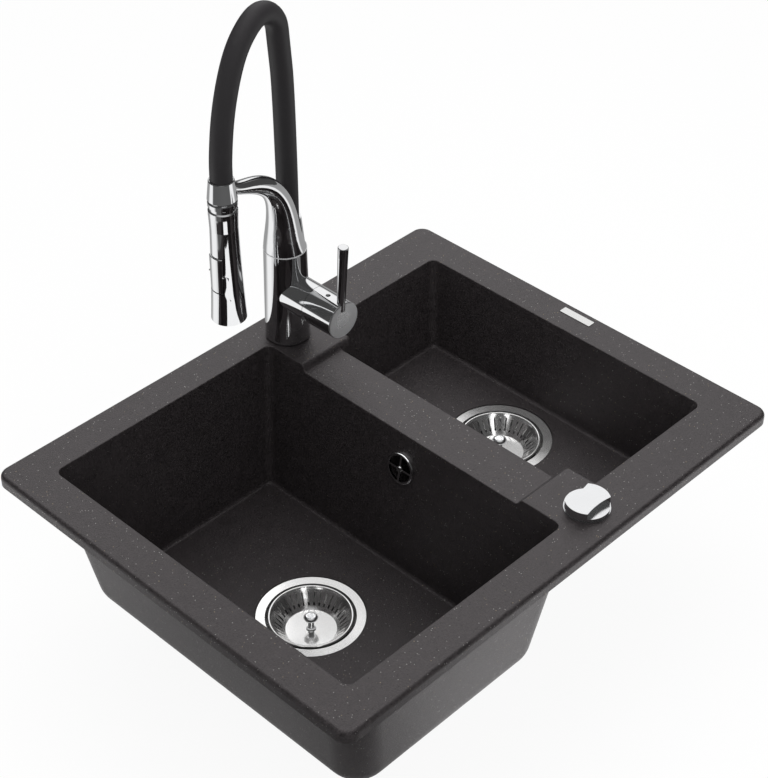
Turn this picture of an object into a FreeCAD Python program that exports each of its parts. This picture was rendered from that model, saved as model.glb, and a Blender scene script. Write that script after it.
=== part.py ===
"""One and a half bowl composite sink with a pull-down hose tap, two strainer wastes and a pop-up control.

Millimetres. The origin is the middle of the rim's underside, where the rim lies on a worktop.
+X runs from the large bowl to the small bowl, +Y to the tap side and +Z up.
"""
import FreeCAD, Part
import math
import os

V = FreeCAD.Vector

# Clearances
running_gap = 0.05
moving_gap = 0.3
thread_gap = 0.05

# Rim of the casting
rim_length = 600.0
rim_width = 480.0
rim_height = 12.0
rim_corner_r = 14.0
rim_edge_r = 4.5

# Bowls: wall planes at the level of the rim's top, and what the walls draw in down to the floor
big_side_margin = 42.2
big_end_margin = 40.8
big_depth = 160.0
big_draft_x = 26.5
big_draft_y = 21.0
small_side_margin = 41.2
small_end_margin = 56.2
small_depth = 97.0
small_draft_x = 20.5
small_draft_y = 22.3
bowl_floor = 14.0
bowl_corner_r = 8.0
bowl_floor_r = 4.5
bowl_edge_r = 1.2
big_wall_left = 10.2
big_wall_right = 18.0
big_wall_end = 14.8
small_wall = 10.0
shell_corner_r = 34.0
shell_floor_r = 32.0
fitting_pocket_r = 24.8

# Lowered land between the bowls
divider_x = 50.0
divider_width = 52.0
divider_drop = 7.0
divider_length = 284.0
divider_step_angle = 70.0
divider_web = 10.0

# Ledges that carry the tap and the pop-up control into the corners of the small bowl
ledge_x = 95.0
ledge_corner_r = 6.0

# Badge let into the right margin of the rim
badge_length = 40.0
badge_width = 9.4
badge_thickness = 1.6
badge_proud = 0.5
badge_margin = 13.5

# Strainer wastes
drain_y = 0.0
big_drain_offset = 3.4
small_drain_offset = 0.6
drain_hole_r = 48.0
flange_r = 56.5
flange_thickness = 1.6
flange_recess = 2.0
flange_clearance = 0.4
flange_bevel = 1.0
cup_r = 46.2
cup_wall = 1.2
cup_straight = 12.0
cup_depth = 27.0
cup_floor_r = 30.0
cup_drain_holes = 6
cup_drain_hole_r = 6.0
cup_drain_pitch_r = 19.0
basket_rim_r = 43.8
basket_rim_width = 3.2
basket_rim_rise = 1.1
basket_sheet = 1.0
basket_depth = 18.0
basket_floor_r = 27.0
basket_slots = 36
basket_slot_width = 1.7
basket_slot_margin = 0.15
basket_knob_r = 7.4
basket_knob_height = 18.0
basket_cap_height = 6.0
basket_cap_belly = 2.5
basket_crown_r = 3.0
basket_stem_r = 3.2
basket_foot_r = 5.1
basket_foot_height = 4.0
seal_thickness = 2.5
seal_gap = 0.5
waste_gasket_thickness = 3.0
waste_flange_r = 60.0
waste_flange_thickness = 5.0
waste_wall = 3.0
waste_depth = 44.0
tail_r = 23.9
tail_bore_r = 19.5
tail_length = 30.0
tail_neck_r = 21.9
waste_boss_r = 7.0
waste_rib_width = 4.0
waste_rib_height = 9.0
waste_screw_r = 3.9
waste_screw_head_r = 6.5
waste_screw_head = 3.0
lifter_r = 2.0

# Overflow in the large bowl's divider wall
overflow_y = 0.4
overflow_drop = 45.7
overflow_r = 17.5
overflow_rosette_thickness = 2.5
overflow_hole_r = 15.5
overflow_bar = 2.2
overflow_gasket_thickness = 2.0
overflow_box_r = 19.0
overflow_box_depth = 25.0
overflow_box_wall = 2.2
overflow_collar_r = 10.0
overflow_collar = 3.0
overflow_spigot_r = 8.0
overflow_spigot_bore_r = 6.0
overflow_spigot_length = 24.0
overflow_screw_r = 1.6
overflow_screw_head_r = 2.8
overflow_screw_head = 1.6
overflow_screw_bite = 16.8
overflow_post_r = 3.8
overflow_window_margin = 1.0
overflow_edge_r = 1.5

# Pop-up control knob on the front of the land
popup_x = 60.0
popup_margin = 40.0
popup_hole_r = 17.5
popup_neck_r = 16.0
popup_bezel_r = 22.6
popup_bezel_height = 1.0
popup_knob_r = 22.0
popup_knob_base = 3.0
popup_knob_grip = 6.5
popup_scoop_r = 77.0
popup_scoop_offset = 12.0
popup_spindle_r = 4.0
popup_drum_r = 10.0
popup_drum_height = 8.0
popup_drum_groove = 1.5
popup_drum_clearance = 2.0
popup_housing_r = 19.0
popup_housing_wall = 2.5
popup_housing_drop = 34.0
popup_nut_r = 23.0
popup_nut_height = 7.0
popup_gland_r = 5.0
popup_gland_bore_r = 2.5
popup_gland_length = 16.0

# Tap body
tap_x = 52.0
tap_margin = 40.0
tap_hole_r = 17.5
tap_gasket_thickness = 1.5
tap_gasket_r = 23.0
tap_foot_r = 24.0
tap_foot_height = 2.0
tap_neck_r = 22.4
tap_seam_height = 109.0
tap_spigot_r = 14.0
tap_spigot_height = 16.0
tap_shank_r = 15.8
tap_shank_grip = 14.0
tap_shank_drop = 46.0
tap_shank_bore_r = 10.0
tap_inlet_r = 4.5
tap_inlet_depth = 12.0
tap_inlet_offset = 7.5
tap_washer_r = 21.5
tap_rubber_thickness = 3.0
tap_steel_thickness = 2.0
tap_nut_flats = 38.0
tap_nut_height = 12.0
swivel_ring_height = 1.2
swivel_ring_proud = 0.2

# Side housing, cartridge and lever, along -Y from the tap's axis
handle_height = 59.5
housing_r = 20.3
housing_out = 43.5
housing_bore_r = 17.5
housing_bore_end = 9.0
cartridge_length = 26.0
cartridge_nut_bore_r = 12.0
rotor_r = 11.7
rotor_length = 6.0
rotor_slot_width = 7.0
rotor_slot_height = 12.0
stem_width = 6.6
stem_height = 7.4
stem_length = 24.0
stem_back_gap = 1.0
stem_pin_r = 1.5
stem_pin_length = 20.0
cap_gap = 0.4
cap_face_out = 84.0
cap_wall = 2.6
cap_solid = 17.0
cap_boss_r = 9.0
cap_boss_back = 3.5
cap_dish = 1.4
cap_edge_r = 0.8
lever_tilt = 15.0
grub_r = 2.5
grub_out = 62.0
lever_out = 79.5
lever_lean = 3.3
lever_foot_r = 4.2
lever_top_r = 5.5
lever_bury = 9.0
lever_length = 70.0

# Swan arm and dock, turned from -X towards the user. A section of the arm is its offset from the tap's axis,
# its height above the arm's foot, its lean and its radius.
arm_turn = 4.0
spray_reach = 84.6
arm_end_inset = 10.6
arm_end_height = 106.5
arm_sections = [
    (0.0, 0.0, 90.0, 22.2),
    (-2.8, 30.0, 94.0, 17.0),
    (-6.6, 56.0, 106.0, 13.5),
    (-18.5, 77.5, 133.0, 11.0),
    (-41.0, 93.0, 160.0, 9.0),
    (arm_end_inset - spray_reach, arm_end_height, 172.0, 7.8),
]
cone_sunk = 2.0
cone_foot_r = 20.8
cone_top_x = 19.0
cone_top_y = 12.0
cone_top_height = 22.0
cone_top_r = 13.2
ferrule_length = 5.0
ferrule_proud = 1.5
ferrule_wall = 1.2
dock_drop = 8.0
dock_height = 22.5
dock_low_r = 15.0
dock_high_r = 12.8
dock_edge = 0.8

# Hose: corners of its centre line before the arm's turn, from the tap's axis at the arm's foot
hose_r = 11.2
hose_bore_r = 8.0
hose_points = [
    (19.0, 12.0, 165.5),
    (9.7, 10.0, 246.2),
    (-4.4, 8.5, 259.3),
    (-23.5, 6.5, 262.2),
    (-48.0, 4.0, 248.0),
    (-64.0, 2.0, 225.2),
    (-77.5, 0.5, 187.0),
    (-84.0, 0.0, 144.5),
    (-spray_reach, 0.0, 121.5),
    (-spray_reach, 0.0, 91.7),
]
hose_run_share = 0.47

# Spray head
hose_nut_gap = 0.5
hose_nut_height = 16.0
hose_nut_r = 14.8
hose_nut_groove = 1.6
hose_nut_slant = 1.2
spray_top_r = 14.7
spray_collar = 15.5
spray_seam_r = 14.2
spray_length = 107.0
spray_low_r = 18.1
spray_flare = 1.5
spray_wall = 2.5
spray_spigot_r = 10.0
spray_spigot_height = 9.0
spray_face_recess = 1.5
spray_face_thickness = 4.0
nozzle_inner_pitch_r = 5.0
nozzle_outer_pitch_r = 10.0
nozzle_inner_count = 6
nozzle_outer_count = 12
nozzle_r = 0.9
rocker_rise = 37.0
rocker_height = 41.0
rocker_width = 18.0
rocker_proud = 0.8
rocker_thickness = 6.0
rocker_gap = 0.6
rocker_swing = 2.6
rocker_edge_r = 1.2
rocker_pin_r = 1.2

# Levels and places worked out from the sizes above
rim_top = rim_height
big_floor = rim_top - big_depth
small_floor = rim_top - small_depth
tap_y = rim_width / 2 - tap_margin
popup_y = popup_margin - rim_width / 2
tap_axis = V(tap_x, tap_y, rim_top)
spray_axis = V(tap_x - spray_reach * math.cos(math.radians(arm_turn)),
               tap_y - spray_reach * math.sin(math.radians(arm_turn)), rim_top)
handle_axis = V(tap_x, tap_y, rim_top + handle_height)
arm_rise = tap_seam_height + swivel_ring_height + moving_gap
arm_axis = tap_axis + V(0, 0, arm_rise)
dock_low = arm_rise + arm_end_height - dock_drop
dock_high = dock_low + dock_height
hose_nut_high = dock_low - hose_nut_gap
hose_nut_low = hose_nut_high - hose_nut_height
spray_seam_height = hose_nut_low - spray_collar
spray_low = spray_seam_height - spray_length
rocker_low = spray_low + rocker_rise
rocker_high = rocker_low + rocker_height
DOWN = V(0, 0, -1)
UP = V(0, 0, 1)
OUT = V(0, -1, 0)


def save(shape, name):
    """Write one piece to its file, after a test that it is sound."""
    if not shape.isValid():
        print("not valid:", name)
    shape.exportStep("parts/" + name + ".step")


def ring(outer_r, inner_r, height, base, axis=UP):
    """Tube of a given height that stands on base."""
    tube = Part.makeCylinder(outer_r, height, base, axis)
    return tube.cut(Part.makeCylinder(inner_r, height, base, axis))


def outline(start, *steps):
    """Face in the XZ plane: a step is a point, or the middle and end points of an arc."""
    here = V(start[0], 0, start[1])
    edges = []
    for step in list(steps) + [start]:
        if isinstance(step[0], tuple):
            middle = V(step[0][0], 0, step[0][1])
            there = V(step[1][0], 0, step[1][1])
            edges.append(Part.Arc(here, middle, there).toShape())
        else:
            there = V(step[0], 0, step[1])
            edges.append(Part.LineSegment(here, there).toShape())
        here = there
    return Part.Face(Part.Wire(edges))


def lathe(face, place):
    """Solid of revolution of a face about the upright axis, moved to its place."""
    solid = face.revolve(V(0, 0, 0), UP, 360)
    solid.translate(place)
    return solid


def side_lathe(face, place):
    """Solid of revolution whose upright axis is laid along -Y, pointing out of the tap."""
    solid = face.revolve(V(0, 0, 0), UP, 360)
    solid.rotate(V(0, 0, 0), V(1, 0, 0), 90)
    solid.translate(place)
    return solid


def box_between(low, high):
    """Box given by two opposite corners."""
    return Part.makeBox(high.x - low.x, high.y - low.y, high.z - low.z, low)


def around(solid, count, centre):
    """Copies of a solid spaced evenly about an upright axis."""
    copies = []
    for index in range(count):
        copy = solid.copy()
        copy.rotate(centre, UP, 360.0 * index / count)
        copies.append(copy)
    return copies


def rounded_rectangle(low_x, high_x, low_y, high_y, corner_r, z):
    """Level wire of four straight sides and four corner arcs."""
    left = low_x + corner_r
    right = high_x - corner_r
    front = low_y + corner_r
    rear = high_y - corner_r
    sag = corner_r * (1 - math.sqrt(0.5))
    corners = [
        (V(right, low_y, z), V(high_x - sag, low_y + sag, z), V(high_x, front, z)),
        (V(high_x, rear, z), V(high_x - sag, high_y - sag, z), V(right, high_y, z)),
        (V(left, high_y, z), V(low_x + sag, high_y - sag, z), V(low_x, rear, z)),
        (V(low_x, front, z), V(low_x + sag, low_y + sag, z), V(left, low_y, z)),
    ]
    edges = []
    for index, (start, middle, end) in enumerate(corners):
        edges.append(Part.Arc(start, middle, end).toShape())
        following = corners[(index + 1) % 4][0]
        edges.append(Part.LineSegment(end, following).toShape())
    return Part.Wire(edges)


class Bowl:
    """Place, depth and draft of one bowl."""

    def __init__(self, low_x, high_x, half_y, depth, draft_x, draft_y):
        self.low_x = low_x
        self.high_x = high_x
        self.half_y = half_y
        self.depth = depth
        self.draft_x = draft_x
        self.draft_y = draft_y

    def section(self, z, corner_r):
        """Rounded outline of the bowl at a level."""
        share = (rim_top - z) / self.depth
        inset_x = self.draft_x * share
        inset_y = self.draft_y * share
        return rounded_rectangle(self.low_x + inset_x, self.high_x - inset_x,
                                 inset_y - self.half_y, self.half_y - inset_y, corner_r, z)

    def solid(self, high, low, corner_r, floor_r):
        """Drafted block between two levels with a rounded foot."""
        block = Part.makeLoft([self.section(high, corner_r), self.section(low, corner_r)], True, True)
        foot = [edge for edge in block.Edges if edge.BoundBox.ZMax < low + 0.01]
        return block.makeFillet(floor_r, foot)

    def mouth_edges(self, shape):
        """Edges of a casting that run round this bowl's mouth."""
        reach = bowl_edge_r
        found = []
        for edge in shape.Edges:
            bounds = edge.BoundBox
            if bounds.ZMin < rim_top - divider_drop - 0.1:
                continue
            inside = (bounds.XMin > self.low_x - reach and bounds.XMax < self.high_x + reach
                      and bounds.YMin > -self.half_y - reach and bounds.YMax < self.half_y + reach)
            if inside and edge.CenterOfMass.z < rim_top + 0.01:
                found.append(edge)
        return found


big = Bowl(big_side_margin - rim_length / 2, divider_x - divider_width / 2,
           rim_width / 2 - big_end_margin, big_depth, big_draft_x, big_draft_y)
small = Bowl(divider_x + divider_width / 2, rim_length / 2 - small_side_margin,
             rim_width / 2 - small_end_margin, small_depth, small_draft_x, small_draft_y)
big_shell = Bowl(big.low_x - big_wall_left, big.high_x + big_wall_right, big.half_y + big_wall_end,
                 big_depth, big_draft_x, big_draft_y)
small_shell = Bowl(small.low_x - small_wall, small.high_x + small_wall, small.half_y + small_wall,
                   small_depth, small_draft_x, small_draft_y)
big_drain_x = (big.low_x + big.high_x) / 2 + big_drain_offset
small_drain_x = (small.low_x + small.high_x) / 2 + small_drain_offset
step_angle = math.radians(divider_step_angle)
step_r = divider_drop / 2 / (1 - math.cos(step_angle))
step_y = divider_length / 2 + step_r * math.sin(step_angle)
step_end_y = step_y + step_r * math.sin(step_angle)
overflow_tilt = math.degrees(math.atan2(big_draft_x, big_depth))
overflow_centre = V(big.high_x - big_draft_x * overflow_drop / big_depth, overflow_y, rim_top - overflow_drop)
badge_x = rim_length / 2 - badge_margin


def divider_groove():
    """Space above the lowered land, with two S-shaped steps of equal arcs."""
    half = divider_length / 2
    floor = rim_top - divider_drop
    bend = step_r * math.sin(step_angle / 2)
    sag = step_r * (1 - math.cos(step_angle / 2))
    ends = []
    for side in (1, -1):
        low = V(0, side * half, floor)
        low_mid = V(0, side * (half + bend), floor + sag)
        middle = V(0, side * step_y, floor + divider_drop / 2)
        high_mid = V(0, side * (step_end_y - bend), rim_top - sag)
        high = V(0, side * step_end_y, rim_top)
        ends.append((low, low_mid, middle, high_mid, high))
    right, left = ends
    above = rim_top + divider_drop
    right_top = V(0, right[4].y, above)
    left_top = V(0, left[4].y, above)
    wire = Part.Wire([
        Part.LineSegment(left[0], right[0]).toShape(),
        Part.Arc(right[0], right[1], right[2]).toShape(),
        Part.Arc(right[2], right[3], right[4]).toShape(),
        Part.LineSegment(right[4], right_top).toShape(),
        Part.LineSegment(right_top, left_top).toShape(),
        Part.LineSegment(left_top, left[4]).toShape(),
        Part.Arc(left[4], left[3], left[2]).toShape(),
        Part.Arc(left[2], left[1], left[0]).toShape(),
    ])
    overlap = bowl_edge_r * 3
    groove = Part.Face(wire).extrude(V(divider_width + 2 * overlap, 0, 0))
    groove.translate(V(big.high_x - overlap, 0, 0))
    return groove


def ledge(side):
    """Block in a left corner of the small bowl, rounded at its free corner and along its top edges."""
    inner_y = side * (step_end_y - step_r)
    outer_y = side * (small.half_y + bowl_edge_r)
    block = box_between(V(small.low_x - bowl_edge_r, min(inner_y, outer_y), small_floor - bowl_edge_r),
                        V(ledge_x, max(inner_y, outer_y), rim_top))
    free = [edge for edge in block.Edges if edge.BoundBox.ZLength > rim_height
            and edge.BoundBox.XMin > ledge_x - 0.01 and abs(edge.CenterOfMass.y) < step_y + 0.01]
    block = block.makeFillet(ledge_corner_r, free)
    brow = [edge for edge in block.Edges if edge.BoundBox.ZMin > rim_top - 0.01
            and edge.CenterOfMass.x > small.low_x and abs(edge.CenterOfMass.y) < small.half_y]
    return block.makeFillet(step_r, brow)


def basin():
    """The one-piece casting: rim, two bowls, lowered land and the holes for what is fitted to it."""
    rim = Part.Face(rounded_rectangle(-rim_length / 2, rim_length / 2, -rim_width / 2, rim_width / 2,
                                      rim_corner_r, 0)).extrude(V(0, 0, rim_height))
    brim = [edge for edge in rim.Edges if edge.BoundBox.ZMin > rim_top - 0.01]
    casting = rim.makeFillet(rim_edge_r, brim)
    inside_rim = rim_top / 2
    for shell, floor in ((big_shell, big_floor), (small_shell, small_floor)):
        casting = casting.fuse(shell.solid(inside_rim, floor - bowl_floor, shell_corner_r, shell_floor_r))
    web_low = rim_top - divider_drop - divider_web
    web_half = divider_length / 2 + divider_web
    web = box_between(V(big.high_x, -web_half, web_low), V(small.low_x, web_half, inside_rim))
    casting = casting.fuse(web)
    casting = casting.cut(divider_groove())
    above = rim_top + divider_drop
    for bowl, floor in ((big, big_floor), (small, small_floor)):
        casting = casting.cut(bowl.solid(above, floor, bowl_corner_r, bowl_floor_r))
    casting = casting.removeSplitter()
    for bowl in (big, small):
        casting = casting.makeFillet(bowl_edge_r, bowl.mouth_edges(casting))
    for side in (1, -1):
        casting = casting.fuse(ledge(side))
    for x, floor in ((big_drain_x, big_floor), (small_drain_x, small_floor)):
        seat = V(x, drain_y, floor - flange_recess)
        casting = casting.cut(Part.makeCylinder(flange_r + flange_clearance, flange_recess * 2, seat))
        casting = casting.cut(Part.makeCylinder(drain_hole_r, bowl_floor * 2, seat, DOWN))
    through = rim_height + divider_drop
    for x, y, hole_r in ((tap_x, tap_y, tap_hole_r), (popup_x, popup_y, popup_hole_r)):
        casting = casting.cut(Part.makeCylinder(hole_r, through, V(x, y, rim_top), DOWN))
        casting = casting.cut(Part.makeCylinder(fitting_pocket_r, big_depth, V(x, y, 0), DOWN))
    reach = big_wall_right * 2
    casting = casting.cut(overflow_place(Part.makeCylinder(overflow_hole_r, reach * 2, V(0, 0, -reach))))
    return casting.cut(badge_pocket(moving_gap))


def overflow_place(solid):
    """Turn a solid whose +Z points into the bowl onto the drafted divider wall."""
    placed = solid.copy()
    placed.rotate(V(0, 0, 0), V(0, 1, 0), overflow_tilt - 90)
    placed.translate(overflow_centre)
    return placed


def badge_pocket(gap):
    """Shallow seat for the badge in the rim's right margin."""
    depth = badge_thickness - badge_proud
    return box_between(V(badge_x - badge_width / 2 - gap, -badge_length / 2 - gap, rim_top - depth),
                       V(badge_x + badge_width / 2 + gap, badge_length / 2 + gap, rim_top + badge_thickness))


def badge_plate():
    """Plain bright plate with softened upright corners."""
    low = rim_top - badge_thickness + badge_proud
    plate = box_between(V(badge_x - badge_width / 2, -badge_length / 2, low),
                        V(badge_x + badge_width / 2, badge_length / 2, rim_top + badge_proud))
    upright = [edge for edge in plate.Edges if edge.BoundBox.ZLength > badge_thickness / 2]
    return plate.makeFillet(badge_thickness / 2, upright)


def waste_flange(place):
    """Pressed flange and cup that hangs in the drain hole; its floor has holes round the screw."""
    top = flange_thickness - flange_recess
    seat = -flange_recess
    floor = -cup_depth
    outer_r = cup_r + cup_wall
    face = outline((cup_r, top), (flange_r - flange_bevel, top), (flange_r, seat), (outer_r, seat),
                   (outer_r, -cup_straight), (cup_floor_r + cup_wall, floor - cup_wall),
                   (0, floor - cup_wall), (0, floor), (cup_floor_r, floor), (cup_r, -cup_straight))
    cup = lathe(face, place)
    below = floor - cup_wall * 2
    hole = Part.makeCylinder(cup_drain_hole_r, cup_wall * 3, place + V(cup_drain_pitch_r, 0, below))
    cup = cup.cut(Part.makeCompound(around(hole, cup_drain_holes, place)))
    return cup.cut(Part.makeCylinder(waste_screw_r + thread_gap, cup_wall * 3, place + V(0, 0, below)))


def basket(place):
    """Slotted strainer basket with a rolled rim and a flat floor."""
    top = flange_thickness - flange_recess
    rim_in = basket_rim_r - basket_rim_width
    low = -basket_depth
    roll = basket_rim_width / 2
    face = outline((rim_in, top), ((rim_in + roll, top + basket_rim_rise), (basket_rim_r, top)),
                   (basket_rim_r, top - basket_sheet), (rim_in, top - basket_sheet * 2),
                   (basket_floor_r, low - basket_sheet), (0, low - basket_sheet), (0, low),
                   (basket_floor_r - basket_sheet, low), (rim_in - basket_sheet, top - basket_sheet))
    shell = lathe(face, place)
    slope_r = rim_in - basket_floor_r
    margin = slope_r * basket_slot_margin
    slot_low = V(basket_floor_r + margin, -basket_slot_width / 2, low - basket_sheet)
    slot_high = V(rim_in - margin, basket_slot_width / 2, top)
    slot = box_between(place + slot_low, place + slot_high)
    shell = shell.cut(Part.makeCompound(around(slot, basket_slots, place)))
    return shell.cut(Part.makeCylinder(basket_stem_r, basket_depth, place + V(0, 0, low - basket_sheet * 2)))


def basket_knob(place):
    """Mushroom knob on a stem that passes through the basket's floor and carries the plug seal."""
    floor = -basket_depth
    high = floor + basket_knob_height
    hub = basket_stem_r - running_gap
    seal_low = floor - basket_sheet - seal_thickness
    foot_bend = V((basket_foot_r + 3 * basket_stem_r) / 4, 0, floor + basket_foot_height / 3)
    cap_low = high - basket_cap_height
    belly = high - basket_cap_belly
    under_bend = V(basket_knob_r * 0.8, 0, cap_low + (belly - cap_low) * 0.3)
    crown_bend = V(basket_knob_r * 0.8, 0, high - basket_cap_belly * 0.25)
    face = outline((0, seal_low), (hub, seal_low), (hub, floor), (basket_foot_r, floor),
                   ((foot_bend.x, foot_bend.z), (basket_stem_r, floor + basket_foot_height)),
                   (basket_stem_r, cap_low), ((under_bend.x, under_bend.z), (basket_knob_r, belly)),
                   ((crown_bend.x, crown_bend.z), (basket_crown_r, high)), (0, high))
    return lathe(face, place)


def cup_radius_at(depth):
    """Inner radius of the cup's conical part at a depth below the bowl's floor."""
    share = (depth - cup_straight) / (cup_depth - cup_straight)
    return cup_r - (cup_r - cup_floor_r) * share


def plug_seal(place):
    """Rubber seal under the basket that closes on the cup's cone."""
    high = basket_depth + basket_sheet
    low = high + seal_thickness
    face = outline((basket_stem_r, -high), (cup_radius_at(high) - seal_gap, -high),
                   (cup_radius_at(low) - seal_gap, -low), (basket_stem_r, -low))
    return lathe(face, place)


def waste_gasket(place):
    """Flat rubber ring under the casting's floor."""
    return ring(waste_flange_r, drain_hole_r, waste_gasket_thickness, place + V(0, 0, -bowl_floor), DOWN)


def waste_body(place):
    """Moulded body below the floor: flange, funnel, a ribbed screw boss and a hole for the tail."""
    high = -bowl_floor - waste_gasket_thickness
    shoulder = high - waste_flange_thickness
    inner_r = drain_hole_r
    outer_r = inner_r + waste_wall
    low = -waste_depth
    hole_r = tail_neck_r + thread_gap
    slope = waste_wall * 3
    face = outline((inner_r, high), (waste_flange_r, high), (waste_flange_r, shoulder), (outer_r, shoulder),
                   (outer_r, low + slope), (outer_r - slope, low - waste_wall), (hole_r, low - waste_wall),
                   (hole_r, low), (inner_r - slope, low), (inner_r, low + slope))
    body = lathe(face, place)
    boss_high = -cup_depth - cup_wall
    boss = Part.makeCylinder(waste_boss_r, boss_high - low, place + V(0, 0, low))
    rib_low = V(-tail_bore_r - waste_wall * 2, -waste_rib_width / 2, low)
    rib = box_between(place + rib_low, place + V(-rib_low.x, waste_rib_width / 2, low + waste_rib_height))
    body = body.fuse([boss, rib])
    bore = Part.makeCylinder(waste_screw_r + thread_gap, waste_depth, place + V(0, 0, boss_high), DOWN)
    return body.cut(bore)


def waste_tail(place):
    """Outlet tail with a narrower neck that is fixed in the body's floor."""
    low = -waste_depth
    shoulder = low - waste_wall
    foot = low - tail_length
    face = outline((tail_bore_r, low), (tail_neck_r, low), (tail_neck_r, shoulder), (tail_r, shoulder),
                   (tail_r, foot), (tail_bore_r, foot))
    return lathe(face, place)


def waste_screw(place):
    """Hollow screw that pulls the cup and the body together."""
    seat = -cup_depth
    top = seat + waste_screw_head
    foot = -waste_depth
    bore_r = lifter_r + running_gap
    face = outline((bore_r, top), (waste_screw_head_r, top), (waste_screw_head_r, seat),
                   (waste_screw_r, seat), (waste_screw_r, foot), (bore_r, foot))
    return lathe(face, place)


def lifter_pin(place):
    """Pin in the hollow screw that lifts the large bowl's strainer."""
    high = -basket_depth - basket_sheet - seal_thickness
    return Part.makeCylinder(lifter_r, waste_depth + high + tail_length / 3, place + V(0, 0, high), DOWN)


def overflow_rosette():
    """Round overflow cover with four windows and a screw seat, on the bowl side of the divider wall."""
    plate = Part.makeCylinder(overflow_r, overflow_rosette_thickness)
    rim = [edge for edge in plate.Edges if edge.BoundBox.ZMin > overflow_rosette_thickness - 0.01]
    plate = plate.makeFillet(overflow_edge_r, rim)
    window = ring(overflow_hole_r - overflow_window_margin, overflow_screw_head_r + overflow_window_margin,
                  overflow_rosette_thickness * 3, V(0, 0, -overflow_rosette_thickness))
    reach = overflow_r * 2
    for turn in (0, 90):
        bar = box_between(V(-reach, -overflow_bar / 2, -reach), V(reach, overflow_bar / 2, reach))
        bar.rotate(V(0, 0, 0), UP, turn)
        window = window.cut(bar)
    plate = plate.cut(window)
    plate = plate.cut(Part.makeCylinder(overflow_screw_r + thread_gap, overflow_rosette_thickness * 3,
                                        V(0, 0, -overflow_rosette_thickness)))
    return overflow_place(plate)


def overflow_gasket():
    """Rubber ring between the divider wall's far side and the overflow box."""
    back = V(0, 0, -overflow_back())
    return overflow_place(ring(overflow_box_r, overflow_hole_r, overflow_gasket_thickness, back, DOWN))


def overflow_back():
    """Depth of the divider wall's far side behind its face in the bowl, square to the wall."""
    return big_wall_right * math.cos(math.radians(overflow_tilt))


def overflow_elbow():
    """Box behind the wall that gathers the overflow and lets it out of a spigot that points down the wall."""
    mouth = V(0, 0, -overflow_back() - overflow_gasket_thickness)
    inner_r = overflow_box_r - overflow_box_wall
    down = V(-1, 0, 0)
    base = mouth + DOWN * (overflow_box_depth / 2)
    collar_end = overflow_box_r + overflow_collar
    tip = collar_end + overflow_spigot_length
    shell = Part.makeCylinder(overflow_box_r, overflow_box_depth, mouth, DOWN)
    shell = shell.fuse(Part.makeCylinder(overflow_collar_r, collar_end, base, down))
    shell = shell.fuse(Part.makeCylinder(overflow_spigot_r, tip, base, down))
    shell = shell.cut(Part.makeCylinder(inner_r, overflow_box_depth - overflow_box_wall, mouth, DOWN))
    shell = shell.cut(Part.makeCylinder(overflow_spigot_bore_r, tip, base, down))
    shell = shell.fuse(Part.makeCylinder(overflow_post_r, overflow_box_depth, mouth, DOWN))
    shell = shell.cut(Part.makeCylinder(overflow_screw_r + thread_gap, overflow_box_depth, mouth, DOWN))
    return overflow_place(shell)


def overflow_screw():
    """Screw through the rosette into the box's post."""
    reach = overflow_back() + overflow_gasket_thickness + overflow_screw_bite
    screw = Part.makeCylinder(overflow_screw_r, reach + overflow_rosette_thickness,
                              V(0, 0, overflow_rosette_thickness), DOWN)
    head = Part.makeCylinder(overflow_screw_head_r, overflow_screw_head, V(0, 0, overflow_rosette_thickness))
    return overflow_place(screw.fuse(head))


popup_axis = V(popup_x, popup_y, rim_top)


def popup_bezel():
    """Flat ring on the rim that the knob turns on."""
    return ring(popup_bezel_r, popup_neck_r + thread_gap, popup_bezel_height, popup_axis)


def popup_knob():
    """Turned knob with two scooped flats that leave a grip bar along X."""
    low = popup_bezel_height + moving_gap
    height = popup_knob_base + popup_knob_grip
    knob = Part.makeCylinder(popup_knob_r, height, popup_axis + V(0, 0, low))
    for side in (1, -1):
        centre = popup_axis + V(0, side * (popup_scoop_offset + popup_scoop_r), low + popup_knob_base)
        knob = knob.cut(Part.makeCylinder(popup_scoop_r, popup_knob_grip * 2, centre))
    socket = Part.makeCylinder(popup_spindle_r + thread_gap, popup_knob_base, popup_axis + V(0, 0, low))
    return knob.cut(socket)


def popup_spindle():
    """Spindle from the knob down to the cable drum."""
    high = popup_bezel_height + moving_gap + popup_knob_base
    drum_high = -rim_height - popup_housing_wall * 2
    drum_low = drum_high - popup_drum_height
    face = outline((0, high), (popup_spindle_r, high), (popup_spindle_r, drum_high),
                   (popup_drum_r, drum_high), (popup_drum_r - popup_drum_groove, (drum_high + drum_low) / 2),
                   (popup_drum_r, drum_low), (0, drum_low))
    return lathe(face, popup_axis)


def popup_housing():
    """Moulded housing under the rim: threaded neck, drum chamber and cable gland."""
    neck_low = -rim_height
    bore_r = popup_spindle_r + running_gap
    chamber_r = popup_drum_r + popup_drum_clearance
    chamber_high = neck_low - popup_housing_wall * 2 + moving_gap
    low = -popup_housing_drop
    shell_low = neck_low - popup_nut_height
    floor = low + popup_housing_wall
    face = outline((bore_r, popup_bezel_height), (popup_neck_r, popup_bezel_height),
                   (popup_neck_r, shell_low), (popup_housing_r, shell_low), (popup_housing_r, low),
                   (0, low), (0, floor), (chamber_r, floor), (chamber_r, chamber_high),
                   (bore_r, chamber_high))
    body = lathe(face, popup_axis)
    height = (chamber_high + floor) / 2
    start = popup_axis + V(0, 0, height)
    reach = popup_housing_r + popup_gland_length
    toward = V(0, 1, 0)
    gland = Part.makeCylinder(popup_gland_r, reach, start, toward)
    chamber = Part.makeCylinder(chamber_r, chamber_high - floor, popup_axis + V(0, 0, floor))
    body = body.fuse(gland.cut(chamber))
    return body.cut(Part.makeCylinder(popup_gland_bore_r, reach, start, toward))


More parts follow.
